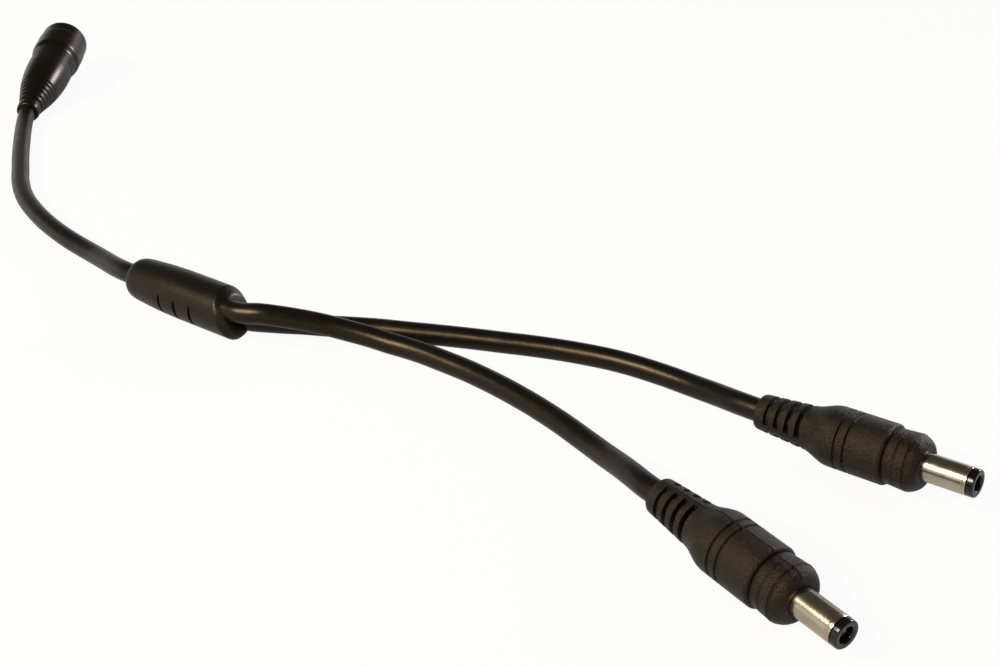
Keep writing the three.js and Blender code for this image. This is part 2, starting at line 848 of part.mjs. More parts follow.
const legMouths = [1, -1].map((side) => [
  onAxis(sleeveGroup, legEnd, (side * legSpacing) / 2),
  onAxis(sleeveGroup, (legEnd + sleeveFace) / 2, (side * legSpacing) / 2),
  onAxis(sleeveGroup, sleeveFace, (side * legSpacing) / 2),
]);
const inputMouth = [
  onAxis(sleeveGroup, inputEnd),
  onAxis(sleeveGroup, (inputEnd + sleeveBack) / 2),
  onAxis(sleeveGroup, sleeveBack),
];
const plugMouth = (group) => [
  onAxis(group, 0),
  onAxis(group, plugCableDepth / 2),
  onAxis(group, plugCableDepth),
];
const socketMouth = [
  onAxis(socketGroup, 0),
  onAxis(socketGroup, socketCableDepth / 2),
  onAxis(socketGroup, socketCableDepth),
];

root.add(
  sleeveGroup,
  piece('input_cable', cable(inputMouth, inputPoints, socketMouth), 'jacket'),
  piece('front_leg_cable', cable(legMouths[0], frontLegPoints, plugMouth(frontGroup)), 'jacket'),
  piece('rear_leg_cable', cable(legMouths[1], rearLegPoints, plugMouth(rearGroup)), 'jacket'),
  frontGroup,
  rearGroup,
  socketGroup,
);

export default root;
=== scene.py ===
import math

import bmesh
import bpy
from mathutils import Matrix, Vector


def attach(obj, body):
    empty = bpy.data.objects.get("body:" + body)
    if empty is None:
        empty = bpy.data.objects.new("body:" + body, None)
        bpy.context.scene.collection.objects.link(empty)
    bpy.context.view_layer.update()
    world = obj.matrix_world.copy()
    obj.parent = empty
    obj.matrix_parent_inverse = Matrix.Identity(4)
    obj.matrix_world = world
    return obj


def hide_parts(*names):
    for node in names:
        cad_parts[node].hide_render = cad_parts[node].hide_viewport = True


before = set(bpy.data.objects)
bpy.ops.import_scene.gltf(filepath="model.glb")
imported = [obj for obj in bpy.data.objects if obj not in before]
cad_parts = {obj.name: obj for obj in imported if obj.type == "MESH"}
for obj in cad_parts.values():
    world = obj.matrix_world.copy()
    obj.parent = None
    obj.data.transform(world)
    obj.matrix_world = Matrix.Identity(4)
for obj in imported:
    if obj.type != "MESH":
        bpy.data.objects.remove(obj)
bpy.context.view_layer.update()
scene = bpy.context.scene
scene.view_settings.view_transform = "Standard"
MM = 0.001


# Camera: its place in millimetres, its line of sight, its lens and the width of its film
CAMERA_PLACE = (232.78, -198.44, 157.5)
CAMERA_SIGHT = (-0.51884, 0.70973, -0.47655)
LENS = 52.7
FILM_WIDTH = 36

camera_data = bpy.data.cameras.new("camera")
camera_data.sensor_fit = "HORIZONTAL"
camera_data.sensor_width = FILM_WIDTH
camera_data.lens = LENS
camera_data.clip_start = 0.01
camera = bpy.data.objects.new("camera", camera_data)
scene.collection.objects.link(camera)
sight = Vector(CAMERA_SIGHT).normalized()
side = sight.cross(Vector((0, 0, 1))).normalized()
rise = side.cross(sight)
camera_turn = Matrix((side, rise, -sight)).transposed().to_4x4()
camera.matrix_world = Matrix.Translation(Vector(CAMERA_PLACE) * MM) @ camera_turn
scene.camera = camera


# Real sizes, in millimetres. Each connector's x runs from its cable end to its face.
CABLE_R = 2.4
REST = CABLE_R + 0.05
CABLE_FIT = 0.03

SLEEVE_HALF = 17.25
SLEEVE_R = 5.7
SLEEVE_ROLL = math.radians(45)
FACE_R = 4.2
SLANT = math.tan(math.radians(23))
SLANT_ROLL = math.radians(72)
SLEEVE_FACE = SLEEVE_HALF - FACE_R * SLANT
CHAMFER_START = SLEEVE_FACE - 2.0
LEG_HALF_SPACING = 2.575

BODY_R = 6.05
NOSE_FACE = 35.25
METAL_R = 2.75
METAL_BORE_R = 2.25
METAL_END = 43.85
TIP_END = 45.3
TIP_BORE_R = 1.5

SOCKET_FACE = 46.9


def placed(x, y, z, heading, tilt, roll):
    """The matrix that lays a connector down: millimetres and degrees."""
    turn = (
        Matrix.Rotation(math.radians(heading), 4, "Z")
        @ Matrix.Rotation(math.radians(-tilt), 4, "Y")
        @ Matrix.Rotation(math.radians(roll), 4, "X")
    )
    return Matrix.Translation(Vector((x, y, z)) * MM) @ turn @ Matrix.Scale(MM, 4)


FRONT_PLUG = placed(127.8, -6.3, 6.741, -18.7, -1.4, 0)
REAR_PLUG = placed(128.1, 33, 5.037, -4.6, 3.4, 108)
SOCKET = placed(-135.4, 60.1, 3.295, 125.3, 10, 0)
SLEEVE = (
    Matrix.Translation((0, 0, SLEEVE_R * MM))
    @ Matrix.Rotation(SLEEVE_ROLL, 4, "X")
    @ Matrix.Scale(MM, 4)
)


def catmull_rom(points, per_span=10):
    """A smooth centripetal line through the points."""
    points = [Vector(p) for p in points]
    points = [2 * points[0] - points[1]] + points + [2 * points[-1] - points[-2]]
    line = []
    for i in range(1, len(points) - 2):
        a, b, c, d = points[i - 1:i + 3]
        t0 = 0.0
        t1 = t0 + max((b - a).length ** 0.5, 1e-6)
        t2 = t1 + max((c - b).length ** 0.5, 1e-6)
        t3 = t2 + max((d - c).length ** 0.5, 1e-6)
        for k in range(per_span):
            t = t1 + (t2 - t1) * k / per_span
            ab = a.lerp(b, (t - t0) / (t1 - t0))
            bc = b.lerp(c, (t - t1) / (t2 - t1))
            cd = c.lerp(d, (t - t2) / (t3 - t2))
            abc = ab.lerp(bc, (t - t0) / (t2 - t0))
            bcd = bc.lerp(cd, (t - t1) / (t3 - t1))
            line.append(abc.lerp(bcd, (t - t1) / (t2 - t1)))
    line.append(points[-2])
    return line


# Materials
MIX_A = 6
MIX_B = 7
WARM_SHEEN = "ffe6c0"
PLAIN_SHEEN = "ffffff"
PVC_SHINE = 0.3


def srgb(code, share=1.0):
    """A linear colour from a hex code such as 1c1a16, at a share of its brightness."""
    parts = [int(code[i:i + 2], 16) / 255 for i in (0, 2, 4)]
    linear = [c / 12.92 if c <= 0.04045 else ((c + 0.055) / 1.055) ** 2.4 for c in parts]
    return tuple(c * share for c in linear) + (1.0,)


def per_mm(size):
    """The scale of a noise whose features are about this many millimetres."""
    return 1 / (size * MM)


def node(tree, kind, links=None, values=None, **settings):
    """Adds one shader node with its settings, its sockets' values and the links into it."""
    made = tree.nodes.new(kind)
    for name, value in settings.items():
        setattr(made, name, value)
    for socket, value in (values or {}).items():
        made.inputs[socket].default_value = value
    for socket, source in (links or {}).items():
        tree.links.new(source, made.inputs[socket])
    return made


def blank(name):
    material = bpy.data.materials.new(name)
    material.use_nodes = True
    tree = material.node_tree
    tree.nodes.clear()
    return material, tree


def finish_material(tree, shader):
    node(tree, "ShaderNodeOutputMaterial", {"Surface": shader.outputs[0]})


def pvc(name, colour, roughness, grain_mm, grain_depth_mm, mottling, sheen=PLAIN_SHEEN, smear_mm=0.0):
    """Moulded or extruded PVC. It shows a soft satin sheen, a faint mottling of its colour, a gloss
    that drifts over the piece, a fine grain and, on the smooth pieces, slow flow marks."""
    drift_mm = 6
    smear_depth_mm = 0.05
    material, tree = blank(name)
    place = node(tree, "ShaderNodeTexCoord").outputs["Object"]
    drift = node(
        tree, "ShaderNodeTexNoise", {"Vector": place},
        {"Scale": per_mm(drift_mm), "Detail": 3.0},
    )
    fine = node(
        tree, "ShaderNodeTexNoise", {"Vector": place},
        {"Scale": per_mm(grain_mm), "Detail": 2.0, "Roughness": 0.6},
    )
    tone = node(
        tree, "ShaderNodeMix", {"Factor": drift.outputs["Fac"]},
        {MIX_A: srgb(colour, 1 - mottling), MIX_B: srgb(colour, 1 + mottling)},
        data_type="RGBA",
    )
    rough = node(
        tree, "ShaderNodeMapRange", {"Value": drift.outputs["Fac"]},
        {"To Min": roughness - 0.05, "To Max": roughness + 0.07},
    )
    bump = node(
        tree, "ShaderNodeBump", {"Height": fine.outputs["Fac"]},
        {"Strength": 1.0, "Distance": grain_depth_mm * MM},
    )
    if smear_mm:
        slow = node(
            tree, "ShaderNodeTexNoise", {"Vector": place},
            {"Scale": per_mm(smear_mm), "Detail": 1.0},
        )
        bump = node(
            tree, "ShaderNodeBump", {"Height": slow.outputs["Fac"], "Normal": bump.outputs[0]},
            {"Strength": 1.0, "Distance": smear_depth_mm * MM},
        )
    shader = node(
        tree, "ShaderNodeBsdfPrincipled",
        {"Base Color": tone.outputs[2], "Roughness": rough.outputs[0], "Normal": bump.outputs[0]},
        {"Specular IOR Level": PVC_SHINE, "Specular Tint": srgb(sheen)},
    )
    finish_material(tree, shader)
    return material


def plated(name, colour, roughness, line_mm, wear):
    """Bright plating on a turned or pressed metal. It shows sharp reflections that fine tool marks
    break up, and a faint tarnish that dulls and darkens it in patches."""
    tarnish_mm = 2.5
    line_depth_mm = 0.002
    material, tree = blank(name)
    place = node(tree, "ShaderNodeTexCoord").outputs["Object"]
    tarnish = node(
        tree, "ShaderNodeTexNoise", {"Vector": place},
        {"Scale": per_mm(tarnish_mm), "Detail": 4.0},
    )
    tone = node(
        tree, "ShaderNodeMix", {"Factor": tarnish.outputs["Fac"]},
        {MIX_A: srgb(colour, 1 - wear), MIX_B: srgb(colour)},
        data_type="RGBA",
    )
    rough = node(
        tree, "ShaderNodeMapRange", {"Value": tarnish.outputs["Fac"]},
        {"To Min": roughness, "To Max": roughness + 0.12},
    )
    lines = node(
        tree, "ShaderNodeTexNoise", {"Vector": place},
        {"Scale": per_mm(line_mm), "Detail": 2.0},
    )
    bump = node(
        tree, "ShaderNodeBump", {"Height": lines.outputs["Fac"]},
        {"Strength": 0.6, "Distance": line_depth_mm * MM},
    )
    shader = node(
        tree, "ShaderNodeBsdfPrincipled",
        {"Base Color": tone.outputs[2], "Roughness": rough.outputs[0], "Normal": bump.outputs[0]},
        {"Metallic": 1.0},
    )
    finish_material(tree, shader)
    return material


def glossy_plastic(name, colour, roughness):
    """Moulded hard plastic from a polished tool. It shows a clear gloss that is a little uneven."""
    drift_mm = 1.2
    drift_depth_mm = 0.01
    material, tree = blank(name)
    place = node(tree, "ShaderNodeTexCoord").outputs["Object"]
    drift = node(
        tree, "ShaderNodeTexNoise", {"Vector": place},
        {"Scale": per_mm(drift_mm), "Detail": 3.0},
    )
    rough = node(
        tree, "ShaderNodeMapRange", {"Value": drift.outputs["Fac"]},
        {"To Min": roughness, "To Max": roughness + 0.1},
    )
    bump = node(
        tree, "ShaderNodeBump", {"Height": drift.outputs["Fac"]},
        {"Strength": 0.4, "Distance": drift_depth_mm * MM},
    )
    shader = node(
        tree, "ShaderNodeBsdfPrincipled",
        {"Roughness": rough.outputs[0], "Normal": bump.outputs[0]},
        {"Base Color": srgb(colour)},
    )
    finish_material(tree, shader)
    return material


# the plugs' spark-eroded skin, with its grain drawn coarser than it is so that it shows
moulded_pvc = pvc("spark_eroded_moulded_pvc", "0b0a08", 0.4, 0.26, 0.22, 0.15, WARM_SHEEN)
# the socket's body, which is smoother and takes clear highlights on its ribs
socket_pvc = pvc("satin_socket_pvc", "0b0a08", 0.27, 0.3, 0.012, 0.15, WARM_SHEEN)
# the sleeve and the cable jackets, smooth but slightly wavy from the flow of the plastic
sleeve_pvc = pvc("satin_moulded_pvc", "0b0a08", 0.36, 0.5, 0.05, 0.15, WARM_SHEEN, smear_mm=3.0)
jacket_pvc = pvc("extruded_pvc_jacket", "0b0a08", 0.32, 0.5, 0.012, 0.1, WARM_SHEEN, smear_mm=2.5)
# the plugs' barrels and the socket's pin, and the contacts inside
nickel = plated("nickel_plated_brass_turned", "c6bda8", 0.16, 0.12, 0.25)
contact_metal = plated("plated_phosphor_bronze", "cfc3a4", 0.25, 0.2, 0.3)
# the plugs' tips and the block inside the socket
tip_plastic = glossy_plastic("polished_black_insulator", "0a090a", 0.12)
housing_plastic = glossy_plastic("black_housing_plastic", "141414", 0.3)
# the wires and the joints between them
red_wire = pvc("red_pvc_insulation", "8e1d18", 0.45, 0.3, 0.004, 0.1)
black_wire = pvc("black_pvc_insulation", "181818", 0.45, 0.3, 0.004, 0.1)
splice_metal = plated("tinned_copper_ferrule", "c6c0b2", 0.3, 0.2, 0.25)


# Turned shapes
def add_object(name, mesh, material, matrix):
    obj = bpy.data.objects.new(name, mesh)
    scene.collection.objects.link(obj)
    mesh.materials.append(material)
    mesh.transform(matrix)
    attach(obj, "root")
    return obj


def revolved(name, rows, segments, shape, material, matrix):
    """A closed turned solid about X. The rows are (x, radius, tag), and a radius of 0 is a pole.
    shape(x, radius, angle, tag) gives each point's own (x, radius): its angle is 0 at +Z and grows
    towards +Y."""
    bm = bmesh.new()
    rings = []
    for x, radius, tag in rows:
        if radius <= 0:
            rings.append([bm.verts.new((x, 0, 0))])
            continue
        ring = []
        for k in range(segments):
            angle = 2 * math.pi * k / segments
            px, pr = shape(x, radius, angle, tag) if shape else (x, radius)
            ring.append(bm.verts.new((px, pr * math.sin(angle), pr * math.cos(angle))))
        rings.append(ring)
    closed = rows[0][1] > 0
    count = len(rings)
    for i in range(count if closed else count - 1):
        a = rings[i]
        b = rings[(i + 1) % count]
        for k in range(segments):
            n = (k + 1) % segments
            if len(a) == 1:
                corners = (a[0], b[k], b[n])
            elif len(b) == 1:
                corners = (a[n], a[k], b[0])
            else:
                corners = (a[n], a[k], b[k], b[n])
            bm.faces.new(corners).smooth = True
    bmesh.ops.recalc_face_normals(bm, faces=bm.faces)
    mesh = bpy.data.meshes.new(name)
    bm.to_mesh(mesh)
    bm.free()
    return add_object(name, mesh, material, matrix)


def sharpen(obj, degrees):
    """Keeps corners steeper than this sharp in the smooth shading."""
    obj.data.set_sharp_from_angle(angle=math.radians(degrees))


def stations(spans, places=()):
    """The x of every ring: the steps of the (start, end, step) spans, and these places."""
    xs = {round(x, 4) for x in places}
    for start, end, step in spans:
        count = max(1, round((end - start) / step))
        xs.update(round(start + (end - start) * i / count, 4) for i in range(count + 1))
    return sorted(xs)


def tagged(points, tag):
    return [(x, radius, tag) for x, radius in points]


def outside(xs, radius_at):
    return tagged([(x, radius_at(x)) for x in xs], "out")


def rounded_end(x, radius, size):
    """The quarter circle that rounds an end off, from this x and radius."""
    angles = [math.pi / 2 * k / 8 for k in range(9)]
    return [(x + size * math.sin(a), radius - size + size * math.cos(a)) for a in angles]


def between(x, table):
    """Straight-line interpolation in a list of (x, value)."""
    if x <= table[0][0]:
        return table[0][1]
    for (x0, v0), (x1, v1) in zip(table, table[1:]):
        if x <= x1:
            return v0 + (v1 - v0) * (x - x0) / (x1 - x0) if x1 > x0 else v1
    return table[-1][1]


def soft_step(value, low, high):
    t = min(1.0, max(0.0, (value - low) / (high - low)))
    return t * t * (3 - 2 * t)


def angle_from(angle, centre):
    """How far one angle is from another, in degrees."""
    return abs((math.degrees(angle) - centre + 180) % 360 - 180)


# Plugs
COLLAR_END = 1.2
COLLAR_R = 3.68
GRIP_END = 10.6
GRIP_R = 4.42
FLARE_END = 16.9
STEP_START = 27.9
STEP_END = 28.9
NOSE_TURN = 33.0

SLOTS = [3.05 + 2.42 * k for k in range(4)]
SLOT_HALF = 0.53
SLOT_FLOOR = 3.0
WEB = 12
WEB_EDGE = 0.8

RINGS = (19.15, 21.15)
RING_DEPTH = 0.42
RING_FLOOR = 0.14
RING_FRONT = 0.3
RING_BACK = 0.5
RING_LIP = 0.025
NOSE_LINES = ((30.8, 0.1), (33.0, 0.16))

SEAM_END = 35.0
MOULD_STEP = 0.015
FLASH = 0.09

PLUG_BORE_DEPTH = 9.15
WIRE_SPACE_R = 2.7
FLANGE_POCKET = (25.9, 27.6)
FLANGE_POCKET_R = 3.95
FLANGE = (26.2, 27.3)
FLANGE_R = 3.6


def plug_radius(x):
    """The plain outer radius of the plug body, before slots, grooves and the parting line."""
    if x < COLLAR_END:
        return between(x, [
            (0, 3.2), (0.06, 3.36), (0.18, 3.48), (0.4, 3.58), (0.8, 3.65), (COLLAR_END, COLLAR_R),
        ])
    if x < GRIP_END:
        return COLLAR_R + (GRIP_R - COLLAR_R) * (x - COLLAR_END) / (GRIP_END - COLLAR_END)
    if x < FLARE_END:
        part = (x - GRIP_END) / (FLARE_END - GRIP_END)
        return GRIP_R + (BODY_R - GRIP_R) * (1 - math.cos(math.pi * part)) / 2
    return between(x, [
        (FLARE_END, BODY_R), (27.95, BODY_R), (28.1, 6.0), (28.3, 5.86), (28.48, 5.68), (28.54, 5.3),
        (28.62, 5.16), (28.7, 5.16), (28.78, 5.36), (STEP_END, 5.47), (30.2, 5.5), (31.9, 5.63),
        (32.6, 5.66), (33.1, 5.6), (33.6, 5.46), (34.1, 5.24), (34.5, 4.98), (34.85, 4.67),
        (35.08, 4.4), (35.2, 4.2), (NOSE_FACE, 4.02),
    ])


def slot_share(away, seam_gap):
    """How far into a grip slot a point is: 1 inside it, 0 outside or on the web at the parting line."""
    inside = 1 - soft_step(away, SLOT_HALF - 0.03, SLOT_HALF + 0.05)
    return inside * soft_step(seam_gap, WEB - WEB_EDGE, WEB + WEB_EDGE)


def ring_profile(away, far_wall):
    """A ring groove between two low lips, with one steep wall and one that slopes."""
    lip = RING_LIP * soft_step(away, 0.3, 0.42) * (1 - soft_step(away, 0.42, 0.58))
    return lip - RING_DEPTH * (1 - soft_step(away, RING_FLOOR, far_wall))


def nose_line_profile(away):
    """A scratch-thin line with a lip on each side, for a depth of 1."""
    lip = 0.4 * soft_step(away, 0.15, 0.25) * (1 - soft_step(away, 0.25, 0.42))
    return lip - 1 + soft_step(away, 0.04, 0.22)


def plug_shape(x, radius, angle, tag):
    if tag != "out":
        return x, radius
    r = radius
    half = 1 if math.sin(angle) > 0 else -1
    seam_gap = min(angle_from(angle, 0), angle_from(angle, 180))
    # the two mould halves meet with a slight step
    if 10.8 < x < SEAM_END and seam_gap > 0.8:
        r += MOULD_STEP * half
    for centre in SLOTS:
        away = abs(x - centre)
        if away < SLOT_HALF + 0.06 and seam_gap > WEB - WEB_EDGE:
            r += (SLOT_FLOOR - r) * slot_share(away, seam_gap)
    for centre in RINGS:
        # the halves' grooves are a little out of line, and fade at the parting line
        away = abs(x - centre - 0.06 * half)
        if away < 0.6:
            groove = ring_profile(away, RING_FRONT if x > centre else RING_BACK)
            r += groove * 0.35 if seam_gap < 1.5 else groove
    for centre, depth in NOSE_LINES:
        away = abs(x - centre)
        if away < 0.45:
            r += depth * nose_line_profile(away)
    # flash along the upper parting line
    if 0.5 < x < SEAM_END:
        r += FLASH * (1 - soft_step(angle_from(angle, 0), 0.2, 1.4))
    return x, r


def plug_rows():
    spans = [
        (0, COLLAR_END, 0.1), (COLLAR_END, GRIP_END, 0.2), (GRIP_END, FLARE_END, 0.25),
        (FLARE_END, STEP_START, 0.5), (STEP_START, STEP_END, 0.04), (STEP_END, NOSE_TURN, 0.25),
        (NOSE_TURN, NOSE_FACE, 0.08),
    ]
    spans += [(centre - 0.7, centre + 0.7, 0.05) for centre in RINGS]
    spans += [(centre - 0.46, centre + 0.46, 0.05) for centre, depth in NOSE_LINES]
    slot_edges = [
        centre + way * (SLOT_HALF + past)
        for centre in SLOTS for way in (1, -1) for past in (-0.04, -0.01, 0.02, 0.06)
    ]
    metal_bore = METAL_R + 0.03
    pocket_back, pocket_front = FLANGE_POCKET
    inside = [
        (NOSE_FACE + 0.02, 3.9), (NOSE_FACE, 3.3), (NOSE_FACE - 0.02, 2.95),
        (NOSE_FACE - 0.12, metal_bore), (pocket_front, metal_bore), (pocket_front, FLANGE_POCKET_R),
        (pocket_back, FLANGE_POCKET_R), (pocket_back, WIRE_SPACE_R), (PLUG_BORE_DEPTH, WIRE_SPACE_R),
        (PLUG_BORE_DEPTH, CABLE_R + CABLE_FIT),
    ]
    return (
        [(0, CABLE_R + CABLE_FIT, "in")]
        + outside(stations(spans, slot_edges), plug_radius)
        + tagged(inside, "in")
    )


def make_plug(name, matrix):
    body = revolved(
        f"{name}_moulded_body", plug_rows(), 240, plug_shape, moulded_pvc, matrix)
    sharpen(body, 50)
    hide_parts(f"{name}_overmould")

    groove = METAL_END - 0.7
    flange_back, flange_front = FLANGE
    barrel = revolved(f"{name}_metal_barrel", tagged([
        (flange_back, METAL_BORE_R), (flange_back, FLANGE_R), (flange_front, FLANGE_R),
        (flange_front, METAL_R), (NOSE_FACE, METAL_R), (groove - 0.16, METAL_R),
        (groove - 0.12, METAL_R - 0.05), (groove - 0.05, METAL_R - 0.12),
        (groove + 0.05, METAL_R - 0.12), (groove + 0.12, METAL_R - 0.05), (groove + 0.16, METAL_R),
        (METAL_END - 0.1, METAL_R), (METAL_END - 0.03, METAL_R - 0.03), (METAL_END, METAL_R - 0.1),
        (METAL_END, METAL_BORE_R),
    ], "plain"), 128, None, nickel, matrix)
    sharpen(barrel, 30)
    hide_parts(f"{name}_barrel")

    tip_start = TIP_END - 1.3
    tip_r = METAL_R - 0.04
    tip_edge = 0.34
    stem_r = 2.1
    tip = revolved(f"{name}_insulator_tip", tagged([
        (27.4, TIP_BORE_R), (27.4, stem_r), (tip_start, stem_r), (tip_start, tip_r - 0.06),
        (tip_start + 0.06, tip_r), *rounded_end(TIP_END - tip_edge, tip_r, tip_edge),
        (TIP_END, 1.86), (TIP_END - 0.05, 1.74), (TIP_END - 0.16, 1.62), (TIP_END - 0.32, 1.54),
        (TIP_END - 0.5, TIP_BORE_R),
    ], "plain"), 128, None, tip_plastic, matrix)
    sharpen(tip, 40)
    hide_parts(f"{name}_insulator")

    contact_r = 1.35
    wire_end_r = 0.9
    contact = revolved(f"{name}_contact_tube", tagged([
        (21.7, 0), (21.7, wire_end_r), (31.0, wire_end_r), (31.0, contact_r),
        (tip_start - 0.1, contact_r), (tip_start, 1.28), (tip_start, 1.1), (tip_start - 0.08, 1.05),
        (31.9, 1.05), (31.9, 0),
    ], "plain"), 64, None, contact_metal, matrix)
    sharpen(contact, 30)
    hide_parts(f"{name}_centre_contact")
    return [body, barrel, tip, contact]


front_plug = make_plug("front_plug", FRONT_PLUG)
rear_plug = make_plug("rear_plug", REAR_PLUG)


# Socket
RIB_START = 3.5
RIB_PITCH = 1.8
RIB_END = RIB_START + 5 * RIB_PITCH
RIB_DEPTH = 0.17
RING_LINES = (27.5, 29.1, 30.7)
RING_LINE_DEPTH = 0.16
HOUSING_BACK = 31.1
HOUSING_SPACE_R = 5.0
SOCKET_BORE_DEPTH = 11.3
SOCKET_WIRE_SPACE_R = 3.7


def socket_radius(x):
    """The outer radius of the socket body: collar, ribbed cone, bulge, grip ring and mouth."""
    if x < 3.3:
        return between(x, [
            (0, 2.9), (0.1, 3.1), (0.35, 3.28), (0.9, 3.38), (2.0, 3.42), (2.7, 3.38), (3.0, 3.3),
            (3.3, 3.28),
        ])
    if x <= RIB_START:
        return 3.28
    if x < RIB_END:
        part = (x - RIB_START) / RIB_PITCH
        wave = part - math.floor(part)
        crest = 3.52 + 2.0 * (x - RIB_START) / (RIB_END - RIB_START)
        return crest - RIB_DEPTH * (0.5 + 0.5 * math.cos(2 * math.pi * wave))
    return between(x, [
        (RIB_END, 5.38), (RIB_END + 0.4, 5.56), (14.5, 5.85), (16.5, 6.12), (18.5, 6.36), (20.5, 6.55),
        (23.5, 6.72), (26, 6.75), (31.5, 6.75), (32.2, 6.84), (33, 7.1), (33.8, 7.36), (34.4, 7.44),
        (35, 7.45), (41.2, 7.45), (41.5, 7.4), (41.7, 7.24), (42, 7.2), (45.9, 7.2), (46.3, 7.1),
        (46.6, 6.95), (46.8, 6.75), (SOCKET_FACE, 6.5),
    ])


def socket_shape(x, radius, angle, tag):
    """Cuts the fine ring lines into the socket's outside."""
    r = radius
    if tag == "out":
        for centre in RING_LINES:
            away = abs(x - centre)
            if away < 0.4:
                r -= RING_LINE_DEPTH * (1 - soft_step(away, 0.05, 0.35))
    return x, r


def socket_rows():
    xs = stations([
        (0, 3.5, 0.12), (3.5, 12.9, 0.12), (12.9, 27, 0.5), (27, 31.4, 0.07), (31.4, 35, 0.15),
        (35, 41, 0.8), (41, 42.1, 0.08), (42.1, 45.8, 0.8), (45.8, SOCKET_FACE, 0.08),
    ])
    inside = [
        (SOCKET_FACE, HOUSING_SPACE_R + 0.2), (SOCKET_FACE - 0.1, HOUSING_SPACE_R),
        (HOUSING_BACK, HOUSING_SPACE_R), (HOUSING_BACK, SOCKET_WIRE_SPACE_R),
        (SOCKET_BORE_DEPTH, SOCKET_WIRE_SPACE_R), (SOCKET_BORE_DEPTH, CABLE_R + CABLE_FIT),
    ]
    return [(0, CABLE_R + CABLE_FIT, "in")] + outside(xs, socket_radius) + tagged(inside, "in")


socket_body = revolved(
    "socket_moulded_body", socket_rows(), 160, socket_shape, socket_pvc, SOCKET)
sharpen(socket_body, 50)
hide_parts("socket_overmould")
pin = revolved("socket_pin", tagged([
    (27.2, 0), (27.2, 0.75), (31.4, 0.75), (31.4, 1.0), *rounded_end(44.9, 1.0, 0.7), (45.6, 0),
], "plain"), 64, None, nickel, SOCKET)
sharpen(pin, 35)
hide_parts("socket_centre_pin")


# Sleeve, measured from its middle
SLITS = [-SLEEVE_HALF + 12.9 + 5.0 * k for k in range(3)]
SLIT_MIDDLES = (116, 296)
SLIT_SPREAD = 34
SLIT_FADE = (29, 35)
SLIT_HALF_WIDTH = 0.38
SLIT_DEPTH = 0.8


def sleeve_radius(x):
    along = x + SLEEVE_HALF
    if along < 15.7:
        return between(along, [
            (0, 3.25), (0.1, 3.62), (0.3, 4.0), (0.6, 4.32), (1.0, 4.58), (1.7, 4.86), (2.6, 5.02),
            (3.7, 5.14), (5.7, 5.27), (7.7, 5.41), (9.7, 5.53), (11.7, 5.6), (13.7, 5.66),
            (15.7, SLEEVE_R),
        ])
    if x < CHAMFER_START - 0.3:
        return SLEEVE_R
    chamfer = [
        (-0.3, 0), (0, 0.05), (0.25, 0.18), (0.6, 0.4), (1.2, 0.8), (1.6, 1.1), (1.85, 1.35),
        (SLEEVE_FACE - CHAMFER_START, 1.62),
    ]
    return between(x, [(CHAMFER_START + past, SLEEVE_R - cut) for past, cut in chamfer])


def slit_cut(away, gap):
    """How deep a slit cuts at this distance along the sleeve and this angle from its middle."""
    width = SLIT_HALF_WIDTH * math.sqrt(max(0.0, 1 - (gap / SLIT_SPREAD) ** 2))
    if width <= 0:
        return 0.0
    across = 1 - soft_step(away, max(0.0, width - 0.05), width + 0.08)
    return SLIT_DEPTH * across * (1 - soft_step(gap, *SLIT_FADE))


def sleeve_shape(x, radius, angle, tag):
    """Cuts the slits and leans the leg end back to its slanted face."""
    r = radius
    for centre in SLITS:
        away = abs(x - centre)
        if away < 0.55 and tag == "out":
            for middle in SLIT_MIDDLES:
                gap = angle_from(angle, middle)
                if gap < SLIT_FADE[1]:
                    r -= slit_cut(away, gap)
    lean = soft_step(x, SLITS[-1] + 0.8, CHAMFER_START - 0.3)
    y = radius * math.sin(angle)
    z = radius * math.cos(angle)
    slide = (y * math.sin(SLANT_ROLL) + z * math.cos(SLANT_ROLL)) * SLANT * lean
    return x - slide, r


def sleeve_rows():
    spans = [
        (-SLEEVE_HALF, -SLEEVE_HALF + 4, 0.1), (-SLEEVE_HALF + 4, CHAMFER_START - 0.4, 0.5),
        (CHAMFER_START - 0.4, SLEEVE_FACE, 0.06),
    ]
    spans += [(centre - 0.55, centre + 0.55, 0.05) for centre in SLITS]
    return (
        [(-SLEEVE_HALF, 0, "in")]
        + outside(stations(spans), sleeve_radius)
        + [(SLEEVE_FACE, 2.0, "in"), (SLEEVE_FACE, 0, "in")]
    )


sleeve = revolved(
    "moulded_sleeve", sleeve_rows(), 240, sleeve_shape, sleeve_pvc, SLEEVE)
sharpen(sleeve, 50)
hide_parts("y_sleeve")


# Cables, as the chosen points of the routes: x, y and the lift above the surface, in millimetres
FRONT_LEG = [
    (18.6, -1.5, 5.3), (22.4, 0.15, 5.6), (26, 2.7, 5.0), (29.8, 5.7, 4.0), (33.9, 8.6, 2.85),
    (38.4, 11, 1.75), (43, 12.9, 0.9), (47.2, 14.1, 0.25), (51.2, 14.9, 0.02), (56, 15.2, 0),
    (62.2, 15.1, 0), (68.7, 14.8, 0), (77.4, 13.7, 0), (86.4, 11.9, 0), (95.6, 9.4, 0),
    (103.8, 6.5, 0.1), (110, 3.6, 0.8), (115.2, 0.6, 2.05), (119.9, -2.4, 3.3), (124, -4.8, 4.05),
]
REAR_LEG = [
    (18.4, 2.2, 1.7), (21.3, 3.6, 1.75), (24.2, 6.1, 1.3), (27.2, 9.1, 0.7),
    (30.6, 11.9, 0.15), (34.7, 14.6, 0), (41.1, 18, 0), (47.1, 20.7, 0), (53.8, 23.8, 0),
    (60, 26.5, 0), (66.4, 29.1, 0), (74.6, 32.4, 0), (83.2, 35.2, 0), (92.2, 37.2, 0),
    (101.7, 37.8, 0), (110.1, 37.2, 0.25), (116.8, 35.7, 1.1), (122.4, 33.9, 2.1),
]
